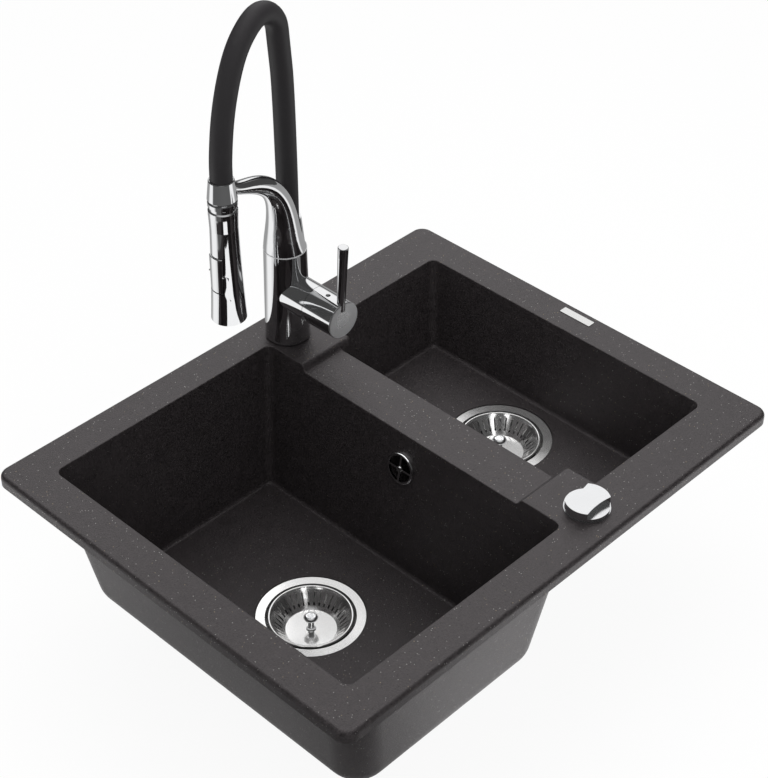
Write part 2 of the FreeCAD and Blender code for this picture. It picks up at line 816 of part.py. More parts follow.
def popup_nut():
    """Ring nut that clamps the housing to the rim from below."""
    return ring(popup_nut_r, popup_neck_r + thread_gap, popup_nut_height - moving_gap,
                popup_axis + V(0, 0, -rim_height - popup_nut_height + moving_gap))


def tap_gasket():
    """Rubber ring under the tap's foot."""
    return ring(tap_gasket_r, tap_hole_r, tap_gasket_thickness, tap_axis)


def tap_body():
    """Turned body with a side housing for the cartridge and a spigot for the swivelling spout."""
    low = tap_gasket_thickness
    seam = tap_seam_height
    spigot_top = seam + tap_spigot_height
    face = outline((0, low), (tap_foot_r, low), (tap_foot_r, low + tap_foot_height), (tap_neck_r, seam),
                   (tap_spigot_r, seam), (tap_spigot_r, spigot_top), (0, spigot_top))
    body = lathe(face, tap_axis)
    body = body.fuse(Part.makeCylinder(housing_r, housing_out, handle_axis, OUT))
    body = body.cut(Part.makeCylinder(housing_bore_r, housing_out, handle_axis + OUT * housing_bore_end, OUT))
    body = body.cut(Part.makeCylinder(tap_shank_r + thread_gap, tap_shank_grip, tap_axis + V(0, 0, low)))
    feed_r = tap_inlet_r
    feed_low = low + tap_shank_grip
    body = body.cut(Part.makeCylinder(feed_r, handle_height - feed_low, tap_axis + V(0, 0, feed_low)))
    return body.cut(Part.makeCylinder(feed_r, spigot_top - handle_height, handle_axis))


def tap_shank():
    """Threaded tail with two inlet threads at its foot."""
    high = tap_gasket_thickness + tap_shank_grip
    length = high + rim_height + tap_shank_drop
    shank = Part.makeCylinder(tap_shank_r, length, tap_axis + V(0, 0, high), DOWN)
    foot = tap_axis + V(0, 0, high - length)
    plug = tap_inlet_depth * 2
    shank = shank.cut(Part.makeCylinder(tap_shank_bore_r, length - plug, tap_axis + V(0, 0, high), DOWN))
    for side in (1, -1):
        shank = shank.cut(Part.makeCylinder(tap_inlet_r, plug, foot + V(side * tap_inlet_offset, 0, 0)))
    return shank


def tap_washers_and_nut():
    """Rubber washer, steel washer and hexagon nut under the rim."""
    rubber_low = -rim_height - tap_rubber_thickness
    steel_low = rubber_low - tap_steel_thickness
    nut_low = steel_low - tap_nut_height
    hole_r = tap_shank_r + thread_gap
    rubber = ring(tap_washer_r, hole_r, tap_rubber_thickness, tap_axis + V(0, 0, rubber_low))
    steel = ring(tap_washer_r, hole_r, tap_steel_thickness, tap_axis + V(0, 0, steel_low))
    corner_r = tap_nut_flats / math.sqrt(3)
    corners = [V(corner_r * math.cos(math.radians(60 * k)), corner_r * math.sin(math.radians(60 * k)), 0)
               for k in range(7)]
    nut = Part.Face(Part.makePolygon(corners)).extrude(V(0, 0, tap_nut_height))
    nut.translate(tap_axis + V(0, 0, nut_low))
    nut = nut.cut(Part.makeCylinder(hole_r, tap_nut_height, tap_axis + V(0, 0, nut_low)))
    return rubber, steel, nut


def swivel_ring():
    """Bright bearing ring between the body and the swivelling spout."""
    return ring(tap_neck_r + swivel_ring_proud, tap_spigot_r + running_gap, swivel_ring_height,
                tap_axis + V(0, 0, tap_seam_height))


def cartridge():
    """Ceramic cartridge pushed into the housing."""
    floor = handle_axis + OUT * housing_bore_end
    return Part.makeCylinder(housing_bore_r - thread_gap, cartridge_length, floor, OUT)


def cartridge_nut():
    """Threaded ring that holds the cartridge in the housing."""
    start = housing_bore_end + cartridge_length
    return ring(housing_bore_r - thread_gap, cartridge_nut_bore_r, housing_out - start - moving_gap,
                handle_axis + OUT * start, OUT)


rotor_start = housing_bore_end + cartridge_length + moving_gap
pivot = handle_axis + OUT * (rotor_start + rotor_length / 2)


def cartridge_rotor():
    """Turning disc of the cartridge, with a slot for the stem and a hole for its pin."""
    disc = Part.makeCylinder(rotor_r, rotor_length, handle_axis + OUT * rotor_start, OUT)
    slot = V(rotor_slot_width / 2, rotor_length, rotor_slot_height / 2)
    disc = disc.cut(box_between(pivot - slot, pivot + slot))
    return disc.cut(Part.makeCylinder(stem_pin_r, rotor_r * 2, pivot - V(rotor_r, 0, 0), V(1, 0, 0)))


def stem_pin():
    """Pin across the rotor that the stem tilts on."""
    return Part.makeCylinder(stem_pin_r, stem_pin_length, pivot - V(stem_pin_length / 2, 0, 0), V(1, 0, 0))


def stem_box(gap):
    """Square bar of the stem, from just behind its pin out into the cap."""
    half = V(stem_width / 2 + gap, 0, stem_height / 2 + gap)
    back = pivot - OUT * (rotor_length / 2 - stem_back_gap)
    return box_between(back - half + OUT * (stem_length + gap), back + half)


def cartridge_stem():
    """Stem that the lever tilts, with a running hole for its pin."""
    side = pivot - V(stem_width, 0, 0)
    return stem_box(0).cut(Part.makeCylinder(stem_pin_r + running_gap, stem_width * 2, side, V(1, 0, 0)))


def lever_frame(solid):
    """Lean a rod that stands on the handle's axis into the lever's place."""
    leaned = solid.copy()
    leaned.rotate(V(0, 0, 0), V(1, 0, 0), lever_lean)
    leaned.translate(handle_axis + OUT * lever_out)
    return leaned


def handle_cap():
    """Lever cap: hollow skirt, boss for the stem and a dished face; its back is cut to let it tilt."""
    back = housing_out + cap_gap
    hollow_end = cap_face_out - cap_solid
    outer = housing_r
    inner = housing_r - cap_wall
    dish_bend = (outer / 2, cap_face_out - cap_dish * 0.75)
    face = outline((0, back), (outer, back), (outer, cap_face_out - cap_edge_r),
                   (outer - cap_edge_r, cap_face_out), (dish_bend, (0, cap_face_out - cap_dish)))
    cap = side_lathe(face, handle_axis)
    hollow = ring(inner, cap_boss_r, hollow_end - back + cap_gap, handle_axis + OUT * (back - cap_gap), OUT)
    cap = cap.cut(hollow)
    cap = cap.cut(Part.makeCylinder(inner, cap_boss_back, handle_axis + OUT * back, OUT))
    cap = cap.cut(stem_box(thread_gap))
    reach = housing_r * 3
    behind = box_between(handle_axis + V(-reach, -back, -reach), handle_axis + V(reach, reach, reach))
    tilted = behind.copy()
    tilted.rotate(pivot, V(1, 0, 0), -lever_tilt)
    cap = cap.cut(behind).cut(tilted)
    screw_base = handle_axis + OUT * grub_out
    cap = cap.cut(Part.makeCylinder(grub_r + thread_gap, housing_r * 2, screw_base))
    return cap.cut(lever_frame(lever_cone(thread_gap)))


def lever_cone(gap):
    """Tapered lever from its buried foot to its top."""
    foot = housing_r - lever_bury
    return Part.makeCone(lever_foot_r + gap, lever_top_r + gap, lever_length + lever_bury, V(0, 0, foot))


def lever_rod():
    """Lever with a softened top edge."""
    rod = lever_cone(0)
    top = rod.BoundBox.ZMax
    rim = [edge for edge in rod.Edges if edge.BoundBox.ZMin > top - 0.01]
    return lever_frame(rod.makeFillet(lever_top_r / 6, rim))


def grub_screw():
    """Small screw in the cap's top that grips the stem."""
    base = handle_axis + OUT * grub_out + V(0, 0, stem_height / 2 + thread_gap)
    length = housing_r - stem_height / 2 - grub_r
    return Part.makeCylinder(grub_r, length, base)


cone_top = arm_axis + V(cone_top_x, cone_top_y, cone_top_height)
ferrule_base = cone_top - V(0, 0, ferrule_length)


def turned(solid):
    """Swing a solid made along -X into the arm's direction."""
    swung = solid.copy()
    swung.rotate(tap_axis, UP, arm_turn)
    return swung


def circle_across(centre, lean, radius):
    """Circle that faces along a lean in the arm's plane, in degrees from +X towards +Z."""
    normal = V(math.cos(math.radians(lean)), 0, math.sin(math.radians(lean)))
    return Part.Wire(Part.Circle(centre, normal, radius).toShape())


def hose_route():
    """Straight runs of the hose's centre line with tangent arcs at its points."""
    points = [ferrule_base + V(0, 0, ferrule_wall)]
    points += [arm_axis + V(x, y, z) for x, y, z in hose_points]
    starts = [points[0]]
    arcs = []
    for before, corner, after in zip(points, points[1:], points[2:]):
        back = before - corner
        ahead = after - corner
        half_turn = (math.pi - back.getAngle(ahead)) / 2
        reach = hose_run_share * min(back.Length, ahead.Length)
        radius = reach / math.tan(half_turn)
        enter = corner + back.normalize() * reach
        leave = corner + ahead.normalize() * reach
        inward = (enter + leave) * 0.5 - corner
        depth = radius / math.cos(half_turn) - radius
        arcs.append((enter, corner + inward.normalize() * depth, leave))
        starts.append(leave)
        print("hose bend radius %.0f" % radius)
    edges = []
    for start, (enter, middle, leave) in zip(starts, arcs):
        edges.append(Part.LineSegment(start, enter).toShape())
        edges.append(Part.Arc(enter, middle, leave).toShape())
    edges.append(Part.LineSegment(starts[-1], points[-1]).toShape())
    return Part.Wire(edges)


def spout_hose():
    """Silicone hose from the ferrule over the arch and down through the dock."""
    route = hose_route()
    first = route.Edges[0]
    start = first.valueAt(first.FirstParameter)
    along = first.tangentAt(first.FirstParameter)
    tubes = []
    for radius in (hose_r, hose_bore_r):
        section = Part.Wire(Part.Circle(start, along, radius).toShape())
        tubes.append(route.makePipeShell([section], True, False))
    hose = tubes[0].cut(tubes[1])
    area = math.pi * (hose_r ** 2 - hose_bore_r ** 2)
    share = hose.Volume / (area * route.Length)
    print("hose length %.1f, volume over section times length %.4f" % (route.Length, share))
    return turned(hose)


def spout_arm():
    """Swivelling casting: foot on the body's spigot, swan arm to the dock and a cone up to the hose."""
    sections = []
    for x, z, lean, radius in arm_sections:
        sections.append(circle_across(arm_axis + V(x, 0, z), lean, radius))
    arm = Part.makeLoft(sections, True, False)
    foot = circle_across(arm_axis + V(0, 0, cone_sunk), 90, cone_foot_r)
    cone = Part.makeLoft([foot, circle_across(cone_top, 90, cone_top_r)], True, True)
    casting = arm.fuse(cone)
    spigot = Part.makeCylinder(tap_spigot_r + running_gap, tap_spigot_height - swivel_ring_height, arm_axis)
    casting = casting.cut(spigot)
    hose_way = Part.makeCylinder(hose_r + ferrule_wall, dock_low, ferrule_base)
    casting = turned(casting.cut(hose_way))
    parking = Part.makeCylinder(dock_low_r + moving_gap, dock_low - hose_nut_low,
                                spray_axis + V(0, 0, hose_nut_low))
    return casting.cut(dock_blank().fuse(parking))


def hose_ferrule():
    """Bright ferrule that holds the hose's fixed end in the cone."""
    length = ferrule_length + ferrule_proud
    tube = Part.makeCylinder(hose_r + ferrule_wall, length, ferrule_base)
    return turned(tube.cut(Part.makeCylinder(hose_r, length, ferrule_base + V(0, 0, ferrule_wall))))


def dock_blank():
    """Flared block that the dock sleeve is bored from."""
    face = outline((0, dock_low), (dock_low_r - dock_edge, dock_low), (dock_low_r, dock_low + dock_edge * 2),
                   (dock_high_r, dock_high - dock_edge), (dock_high_r - dock_edge, dock_high), (0, dock_high))
    return lathe(face, spray_axis)


def dock_sleeve():
    """Flared ring at the arm's end that the hose slides through and the spray head parks under."""
    bore = Part.makeCylinder(hose_r + moving_gap, dock_high - dock_low, spray_axis + V(0, 0, dock_low))
    return dock_blank().cut(bore)


def hose_nut():
    """Grooved nut between the hose and the spray head."""
    low = hose_nut_low
    high = hose_nut_high
    third = (high - low) / 3
    groove_r = hose_nut_r - hose_nut_groove
    bore_r = hose_r + moving_gap
    thread_r = spray_spigot_r + thread_gap
    thread_top = low + spray_spigot_height
    slant = hose_nut_slant
    face = outline((thread_r, low), (hose_nut_r, low), (hose_nut_r, low + third),
                   (groove_r, low + third + slant), (groove_r, high - third - slant),
                   (hose_nut_r, high - third), (hose_nut_r, high - slant),
                   (hose_nut_r - slant, high), (bore_r, high), (bore_r, thread_top), (thread_r, thread_top))
    return lathe(face, spray_axis)


def spray_radius_at(height):
    """Outer radius of the flared spray head at a height above the rim."""
    share = (spray_seam_height - height) / (spray_seam_height - spray_low)
    return spray_seam_r + (spray_low_r - spray_seam_r) * share ** spray_flare


def rocker_space(gap, depth, proud):
    """Upright block on the outer side of the spray head for the rocker or its pocket."""
    middle = (rocker_low + rocker_high) / 2
    face_x = spray_axis.x - spray_radius_at(middle)
    half = rocker_width / 2 + gap
    return box_between(V(face_x - proud, spray_axis.y - half, rim_top + rocker_low - gap),
                       V(face_x + depth, spray_axis.y + half, rim_top + rocker_high + gap))


def spray_outline(inset, low, high):
    """Half section of the flared head between two heights, drawn in by an inset."""
    seam = spray_seam_height
    top = (spray_top_r - inset, high)
    waist = (spray_seam_r - inset, seam)
    belly = (spray_radius_at((low + seam) / 2) - inset, (low + seam) / 2)
    foot = (spray_radius_at(low) - inset, low)
    return outline((0, low), foot, (belly, waist), top, (0, high))


def spray_head():
    """Flared shell of the spray head with a spigot for the hose nut and a pocket for the rocker."""
    low = spray_low
    high = hose_nut_low
    head = lathe(spray_outline(0, low, high), spray_axis)
    hollow = lathe(spray_outline(spray_wall, low, high - spray_wall), spray_axis)
    shelf = rocker_space(rocker_gap + spray_wall, rocker_thickness + rocker_swing + spray_wall, spray_wall)
    head = head.cut(hollow.cut(shelf))
    head = head.cut(rocker_space(rocker_gap, rocker_thickness + rocker_swing, spray_low_r))
    spigot = ring(spray_spigot_r, hose_bore_r, spray_spigot_height, spray_axis + V(0, 0, high))
    head = head.fuse(spigot)
    head = head.cut(Part.makeCylinder(hose_bore_r, spray_wall * 2, spray_axis + V(0, 0, high), DOWN))
    return head.cut(rocker_pin_place(rocker_pin_r + thread_gap, 0))


def rocker_pin_place(radius, shorten):
    """Cylinder along the rocker's pin."""
    middle = (rocker_low + rocker_high) / 2
    x = spray_axis.x - spray_radius_at(middle) + rocker_thickness / 2
    length = rocker_width + 2 * rocker_gap + spray_wall - shorten
    return Part.makeCylinder(radius, length, V(x, spray_axis.y - length / 2, rim_top + middle), V(0, 1, 0))


def spray_rocker():
    """Two-way rocker button that chooses jet or shower."""
    block = rocker_space(0, rocker_thickness, rocker_proud)
    middle = (rocker_low + rocker_high) / 2
    skin = Part.makeCylinder(spray_radius_at(middle) + rocker_proud, rocker_high - rocker_low,
                             spray_axis + V(0, 0, rocker_low))
    block = block.common(skin)
    outer_x = spray_axis.x - spray_radius_at(middle) + rocker_thickness - rocker_edge_r
    ends = [edge for edge in block.Edges if edge.BoundBox.XMax < outer_x and edge.BoundBox.ZLength < 1]
    block = block.makeFillet(rocker_edge_r, ends)
    return block.cut(rocker_pin_place(rocker_pin_r + running_gap, 0))


def spray_face():
    """Nozzle plate in the spray head's mouth."""
    low = spray_low + spray_face_recess
    radius = spray_radius_at(low + spray_face_thickness) - spray_wall - thread_gap
    plate = Part.makeCylinder(radius, spray_face_thickness, spray_axis + V(0, 0, low))
    rings = ((nozzle_inner_pitch_r, nozzle_inner_count), (nozzle_outer_pitch_r, nozzle_outer_count))
    for pitch_r, count in rings:
        hole = Part.makeCylinder(nozzle_r, spray_face_thickness, spray_axis + V(pitch_r, 0, low))
        plate = plate.cut(Part.makeCompound(around(hole, count, spray_axis)))
    return plate


os.makedirs("parts", exist_ok=True)
save(basin(), "sink_basin")
save(badge_plate(), "badge_plate")

big_drain = V(big_drain_x, drain_y, big_floor)
small_drain = V(small_drain_x, drain_y, small_floor)
for bowl_name, drain in (("big", big_drain), ("small", small_drain)):
    save(waste_flange(drain), bowl_name + "_waste_flange")
    save(basket(drain), bowl_name + "_basket")
    save(basket_knob(drain), bowl_name + "_basket_knob")
    save(plug_seal(drain), bowl_name + "_plug_seal")
    save(waste_gasket(drain), bowl_name + "_waste_gasket")
    save(waste_body(drain), bowl_name + "_waste_body")
    save(waste_tail(drain), bowl_name + "_waste_tail")
    save(waste_screw(drain), bowl_name + "_waste_screw")
save(lifter_pin(big_drain), "lifter_pin")

save(overflow_rosette(), "overflow_rosette")
save(overflow_gasket(), "overflow_gasket")
save(overflow_elbow(), "overflow_elbow")
save(overflow_screw(), "overflow_screw")

save(popup_bezel(), "popup_bezel")
save(popup_knob(), "popup_knob")
save(popup_spindle(), "popup_spindle")
save(popup_housing(), "popup_housing")
save(popup_nut(), "popup_nut")

save(tap_gasket(), "tap_gasket")
save(tap_body(), "tap_body")
save(tap_shank(), "tap_shank")
for washer, washer_name in zip(tap_washers_and_nut(), ("tap_rubber_washer", "tap_steel_washer", "tap_nut")):
    save(washer, washer_name)
save(swivel_ring(), "swivel_ring")
save(cartridge(), "cartridge")
save(cartridge_nut(), "cartridge_nut")
save(cartridge_rotor(), "cartridge_rotor")
save(stem_pin(), "stem_pin")
save(cartridge_stem(), "cartridge_stem")
save(handle_cap(), "handle_cap")
save(lever_rod(), "lever_rod")
save(grub_screw(), "grub_screw")
save(spout_arm(), "spout_arm")
save(hose_ferrule(), "hose_ferrule")
save(dock_sleeve(), "dock_sleeve")
save(spout_hose(), "spout_hose")
save(hose_nut(), "hose_nut")
save(spray_head(), "spray_head")
save(spray_face(), "spray_face")
save(spray_rocker(), "spray_rocker")
save(rocker_pin_place(rocker_pin_r, moving_gap), "rocker_pin")
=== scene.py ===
import math

import bmesh
import bpy
from mathutils import Matrix, Vector


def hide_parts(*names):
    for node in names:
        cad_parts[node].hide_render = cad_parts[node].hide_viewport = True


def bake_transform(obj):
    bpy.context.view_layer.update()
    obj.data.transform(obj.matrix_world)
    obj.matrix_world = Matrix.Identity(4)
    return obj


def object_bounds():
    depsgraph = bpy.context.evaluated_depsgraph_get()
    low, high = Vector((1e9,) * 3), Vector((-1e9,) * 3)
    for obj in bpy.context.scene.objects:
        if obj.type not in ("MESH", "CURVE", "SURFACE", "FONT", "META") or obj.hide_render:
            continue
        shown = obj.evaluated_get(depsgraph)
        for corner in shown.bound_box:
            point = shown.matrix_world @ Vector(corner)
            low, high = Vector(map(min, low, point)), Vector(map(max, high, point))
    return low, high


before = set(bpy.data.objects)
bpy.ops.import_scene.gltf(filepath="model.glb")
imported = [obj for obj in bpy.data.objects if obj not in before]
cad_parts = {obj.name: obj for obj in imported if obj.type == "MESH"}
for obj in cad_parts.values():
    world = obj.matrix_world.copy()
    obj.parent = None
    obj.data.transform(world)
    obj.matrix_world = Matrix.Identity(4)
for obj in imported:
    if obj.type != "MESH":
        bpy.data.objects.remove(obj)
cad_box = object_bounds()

scene = bpy.context.scene
scene.view_settings.view_transform = "Standard"

# Camera. It stands in front of the sink to the left and looks down on it at about 39 degrees,
# with the long lens that the photograph was taken with.
image_height = 778
focal_in_pixels = 1916.87
lens_data = bpy.data.cameras.new("camera")
lens_data.sensor_fit = "VERTICAL"
lens_data.sensor_height = 36.0
lens_data.lens = focal_in_pixels * lens_data.sensor_height / image_height
lens_data.clip_end = 50.0
camera = bpy.data.objects.new("camera", lens_data)
camera.location = (-1.03834, -0.99643, 1.22686)
camera.rotation_euler = (math.radians(51.385), math.radians(-0.122), math.radians(-45.832))
scene.collection.objects.link(camera)
scene.camera = camera


# Room. A white studio: a pale floor below the sink, a white surround and soft lamps. The eye sees floor
# and surround as plain white. Polished metal mirrors a bright window behind the sink on the right, a
# softer ceiling, and the floor with painted shade in it, dark in front and grey at the back, and a painted
# shadow beside the sink, so that it has both light and dark in it.
def new_material(name):
    """Material with an empty node tree, and its output node."""
    material = bpy.data.materials.new(name)
    material.use_nodes = True
    material.node_tree.nodes.clear()
    return material, material.node_tree, material.node_tree.nodes.new("ShaderNodeOutputMaterial")


def add_node(tree, kind, settings=None, **inputs):
    """Node with its settings and input values; an input given as a socket is linked."""
    node = tree.nodes.new("ShaderNode" + kind)
    for key, value in (settings or {}).items():
        setattr(node, key, value)
    for key, value in inputs.items():
        name = key.replace("_", " ")
        socket = node.inputs[int(key[1:])] if key[0] == "i" and key[1:].isdigit() else node.inputs[name]
        if isinstance(value, bpy.types.NodeSocket):
            tree.links.new(value, socket)
        else:
            socket.default_value = value
    return node


def seen_directly(tree):
    """1 for the eye's own rays and those by way of metal or glass, 0 for soft light."""
    path = add_node(tree, "LightPath")
    metal = add_node(tree, "Math", {"operation": "MAXIMUM"}, i0=path.outputs["Is Camera Ray"],
                     i1=path.outputs["Is Glossy Ray"])
    either = add_node(tree, "Math", {"operation": "MAXIMUM"}, i0=metal.outputs[0],
                      i1=path.outputs["Is Transmission Ray"])
    return either.outputs[0]


white = (1.0, 1.0, 1.0, 1.0)
floor_colour = (0.86, 0.86, 0.86, 1.0)
floor_level = cad_box[0][2] - 0.002
floor_radius = 9.0
floor_glow = 1.02
floor_glow_share = 0.9
painted_shadow_spot = (-0.45, 0.05, 0.0)
near_dark = (0.03, 0.03, 0.03, 1.0)
far_grey = (0.30, 0.30, 0.30, 1.0)
floor_paint, tree, output = new_material("white_floor")
matt = add_node(tree, "BsdfDiffuse", Color=floor_colour)
place = add_node(tree, "TexCoord").outputs["Object"]
# Painted light and shade, seen only in metal: the floor is dark in front, white across the middle and grey at
# the back.
across = add_node(tree, "VectorMath", {"operation": "DOT_PRODUCT"}, i0=place, i1=(0.5, 0.5, 0.0))
from_front = add_node(tree, "Math", {"operation": "ADD"}, i0=across.outputs["Value"], i1=0.5)
sheen = add_node(tree, "ValToRGB", Fac=from_front.outputs[0])
sheen.color_ramp.elements[0].position = 0.25
sheen.color_ramp.elements[0].color = near_dark
sheen.color_ramp.elements[1].position = 0.36
sheen.color_ramp.elements[1].color = white
sheen.color_ramp.elements.new(0.70).color = white
sheen.color_ramp.elements.new(0.82).color = far_grey
# Painted shadow, seen only in metal: the floor darkens towards a spot beside the sink, where the sink's shadow
# falls.
away = add_node(tree, "VectorMath", {"operation": "DISTANCE"}, i0=place, i1=painted_shadow_spot)
painted_shadow = add_node(tree, "MapRange", Value=away.outputs["Value"], From_Min=0.18, From_Max=0.50,
                  To_Min=0.16, To_Max=1.0)
level = add_node(tree, "Math", {"operation": "MULTIPLY"}, i0=sheen.outputs["Color"],
                 i1=painted_shadow.outputs["Result"])
mirrored = add_node(tree, "LightPath").outputs["Is Glossy Ray"]
in_metal = add_node(tree, "Mix", {"data_type": "FLOAT"}, Factor=mirrored, i2=floor_glow, i3=level.outputs[0])
glow = add_node(tree, "Emission", Color=white, Strength=in_metal.outputs[0])
seen = add_node(tree, "Math", {"operation": "MULTIPLY"}, i0=seen_directly(tree), i1=floor_glow_share)
mixed = add_node(tree, "MixShader", Fac=seen.outputs[0], i1=matt.outputs[0], i2=glow.outputs[0])
tree.links.new(mixed.outputs[0], output.inputs["Surface"])
form = bmesh.new()
bmesh.ops.create_circle(form, cap_ends=True, segments=64, radius=floor_radius)
bmesh.ops.translate(form, vec=(0, 0, floor_level), verts=form.verts)
floor_mesh = bpy.data.meshes.new("floor")
form.to_mesh(floor_mesh)
form.free()
floor_mesh.materials.append(floor_paint)
floor = bpy.data.objects.new("floor", floor_mesh)
scene.collection.objects.link(floor)

ambient_level = 0.5
dim_level = 0.06
window_level = 1.0
window_direction = (0.565, 0.555, 0.61)
ceiling_level = 0.55
world = bpy.data.worlds.new("white_surround")
scene.world = world
world.use_nodes = True
tree = world.node_tree
tree.nodes.clear()
output = tree.nodes.new("ShaderNodeOutputWorld")
ambient = add_node(tree, "Background", Color=white, Strength=ambient_level)
direction = add_node(tree, "TexCoord").outputs["Generated"]
toward = add_node(tree, "VectorMath", {"operation": "DOT_PRODUCT"}, i0=direction, i1=window_direction)
window = add_node(tree, "MapRange", {"interpolation_type": "SMOOTHSTEP"}, Value=toward.outputs["Value"],
                  From_Min=0.80, From_Max=0.94, To_Min=dim_level, To_Max=window_level)
upward = add_node(tree, "SeparateXYZ", Vector=direction).outputs["Z"]
ceiling = add_node(tree, "MapRange", {"interpolation_type": "SMOOTHSTEP"}, Value=upward,
                   From_Min=0.80, From_Max=0.98, To_Min=dim_level, To_Max=ceiling_level)
brighter = add_node(tree, "Math", {"operation": "MAXIMUM"}, i0=window.outputs["Result"],
                    i1=ceiling.outputs["Result"])
mirrored = add_node(tree, "LightPath").outputs["Is Glossy Ray"]
shade = add_node(tree, "Mix", {"data_type": "FLOAT"}, Factor=mirrored, i2=1.0, i3=brighter.outputs[0])
surround = add_node(tree, "Background", Color=white, Strength=shade.outputs[0])
mixed = add_node(tree, "MixShader", Fac=seen_directly(tree), i1=ambient.outputs[0], i2=surround.outputs[0])
tree.links.new(mixed.outputs[0], output.inputs["Surface"])


def soft_lamp(name, place, target, width, height, power, mirrored_in=()):
    """Rectangular soft lamp that points at a target.

    With nodes named, it lights only these and is mirrored in them; otherwise no metal mirrors it.
    """
    data = bpy.data.lights.new(name, "AREA")
    data.shape = "RECTANGLE"
    data.size = width
    data.size_y = height
    data.energy = power
    lamp = bpy.data.objects.new(name, data)
    lamp.location = place
    lamp.rotation_euler = (Vector(target) - Vector(place)).to_track_quat("-Z", "Y").to_euler()
    lamp.visible_camera = False
    lamp.visible_glossy = bool(mirrored_in)
    scene.collection.objects.link(lamp)
    if mirrored_in:
        lamp.light_linking.receiver_collection = bpy.data.collections.new(name)
        for node in mirrored_in:
            lamp.light_linking.receiver_collection.objects.link(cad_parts[node])


soft_lamp("overhead_lamp", (0.2, 0.3, 2.2), (0, 0, 0), 2.2, 1.8, 28)
soft_lamp("front_lamp", (-1.0, -2.2, 1.4), (0, 0, 0.1), 1.4, 1.6, 18)


# Basin. One casting of granite composite: quartz sand bound with dark resin, matt to the touch,
# with a fine grain and scattered pale and golden flecks of mica in it.
def dress(material, *nodes):
    """Give CAD nodes a finish."""
    for name in nodes:
        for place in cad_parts[name].material_slots:
            place.material = material


def flecks(tree, coordinates, scale, share, size):
    """Mask of small round flecks: a share of the grains of a cellular texture."""
    grains = add_node(tree, "TexVoronoi", {"feature": "F1"}, Vector=coordinates, Scale=scale, Randomness=1.0)
    channel = add_node(tree, "SeparateColor", Color=grains.outputs["Color"])
    chosen = add_node(tree, "Math", {"operation": "LESS_THAN"}, i0=channel.outputs["Red"], i1=share)
    near = add_node(tree, "Math", {"operation": "LESS_THAN"}, i0=grains.outputs["Distance"], i1=size)
    mask = add_node(tree, "Math", {"operation": "MULTIPLY"}, i0=chosen.outputs[0], i1=near.outputs[0])
    return mask.outputs[0], channel.outputs["Green"]


dark_resin = (0.0135, 0.0115, 0.0120, 1.0)
pale_sand = (0.0630, 0.0545, 0.0565, 1.0)
pale_mica = (0.58, 0.57, 0.55, 1.0)
golden_mica = (0.48, 0.40, 0.27, 1.0)
sheen_tint = (1.0, 0.935, 0.955, 1.0)
fleck_scale = 450.0
fleck_share = 0.14
fleck_size = 0.19
golden_from = 0.75
composite, tree, output = new_material("granite_composite")
place = add_node(tree, "TexCoord").outputs["Object"]
grain = add_node(tree, "TexNoise", Vector=place, Scale=520.0, Detail=4.0, Roughness=0.75)
cloud = add_node(tree, "TexNoise", Vector=place, Scale=90.0, Detail=5.0, Roughness=0.65)
base = add_node(tree, "ValToRGB", Fac=grain.outputs["Fac"])
base.color_ramp.elements[0].position = 0.36
base.color_ramp.elements[0].color = dark_resin
base.color_ramp.elements[1].position = 0.66
base.color_ramp.elements[1].color = pale_sand
tint = add_node(tree, "Mix", {"data_type": "RGBA", "blend_type": "MULTIPLY"}, Factor=0.7,
                i6=base.outputs["Color"], i7=cloud.outputs["Fac"])
pale_mask, pick = flecks(tree, place, fleck_scale, fleck_share, fleck_size)
golden = add_node(tree, "Math", {"operation": "GREATER_THAN"}, i0=pick, i1=golden_from)
fleck_colour = add_node(tree, "Mix", {"data_type": "RGBA"}, Factor=golden.outputs[0],
                        i6=pale_mica, i7=golden_mica)
colour = add_node(tree, "Mix", {"data_type": "RGBA"}, Factor=pale_mask, i6=tint.outputs["Result"],
                  i7=fleck_colour.outputs["Result"])
gloss = add_node(tree, "MapRange", Value=grain.outputs["Fac"], From_Min=0.3, From_Max=0.7,
                 To_Min=0.26, To_Max=0.46)
bump = add_node(tree, "Bump", Height=grain.outputs["Fac"], Strength=0.8, Distance=0.0006)
resin = add_node(tree, "BsdfPrincipled", Base_Color=colour.outputs["Result"], Metallic=pale_mask,
                 Roughness=gloss.outputs["Result"], IOR=1.78, Specular_Tint=sheen_tint,
                 Normal=bump.outputs["Normal"])
tree.links.new(resin.outputs[0], output.inputs["Surface"])
dress(composite, "sink_basin")


# Badge. A thin rectangular plate of bright metal, glued into a shallow pocket in the right margin
# of the rim. It is left bare.
def metal(name, colour, low_gloss, high_gloss, centre=None, ring_scale=0.0, ring_depth=0.0, bare=1.0):
    """Bare or plated metal; turned metal also has fine rings about an upright axis."""
    material, tree, output = new_material(name)
    place = add_node(tree, "TexCoord").outputs["Object"]
    wear = add_node(tree, "TexNoise", Vector=place, Scale=60.0, Detail=5.0)
    gloss = add_node(tree, "MapRange", Value=wear.outputs["Fac"], From_Min=0.3, From_Max=0.7,
                     To_Min=low_gloss, To_Max=high_gloss)
    surface = add_node(tree, "BsdfPrincipled", Base_Color=colour, Metallic=bare,
                       Roughness=gloss.outputs["Result"])
    if centre is not None:
        about = add_node(tree, "Mapping", Vector=place, Location=[-value for value in centre])
        rings = add_node(tree, "TexWave", {"wave_type": "RINGS", "rings_direction": "Z"},
                         Vector=about.outputs[0], Scale=ring_scale, Distortion=1.5, Detail=2.0)
        bump = add_node(tree, "Bump", Height=rings.outputs["Fac"], Strength=0.08, Distance=ring_depth)
        tree.links.new(bump.outputs["Normal"], surface.inputs["Normal"])
    tree.links.new(surface.outputs[0], output.inputs["Surface"])
    return material


silver = (0.80, 0.80, 0.79, 1.0)
dress(metal("badge_silver", silver, 0.18, 0.26), "badge_plate")

